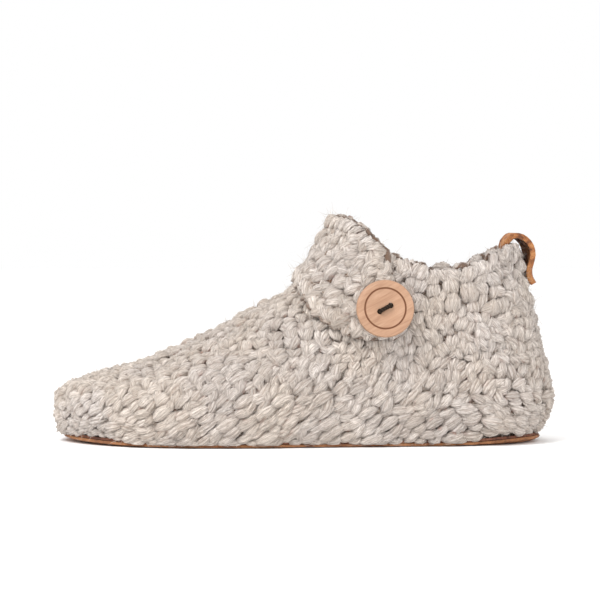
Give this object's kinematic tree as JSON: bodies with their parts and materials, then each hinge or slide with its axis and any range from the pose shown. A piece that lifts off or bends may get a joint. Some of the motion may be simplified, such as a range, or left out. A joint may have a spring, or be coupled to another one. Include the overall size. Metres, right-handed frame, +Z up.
{
  "type": "wool slipper",
  "caption": "Left ankle slipper of chunky crocheted wool with a flap wrapped over the instep, a wooden button, a leather sole and a leather pull loop at the heel.",
  "frame": {"origin": "on the floor, under the middle of the slipper's bounding box", "axes": "+X from toe to heel, +Y towards the medial side of this left slipper, +Z up; the button faces -Y"},
  "size_m": [0.25, 0.1004, 0.1137],
  "materials": {
    "oatmeal_wool": "chunky matte wool crochet",
    "tan_leather": "matte tan leather with raw cut edges",
    "russet_leather": "matte russet leather with raw cut edges",
    "wool_felt": "matte felt",
    "turned_wood": "satin",
    "waxed_cord": "dull waxed cord"
  },
  "bodies": {
    "root": {"outsole": "tan_leather", "midsole": "russet_leather", "insole": "wool_felt", "upper": "oatmeal_wool", "heel_loop": "tan_leather", "button": "turned_wood", "button_cord": "waxed_cord"}
  },
  "joints": []
}
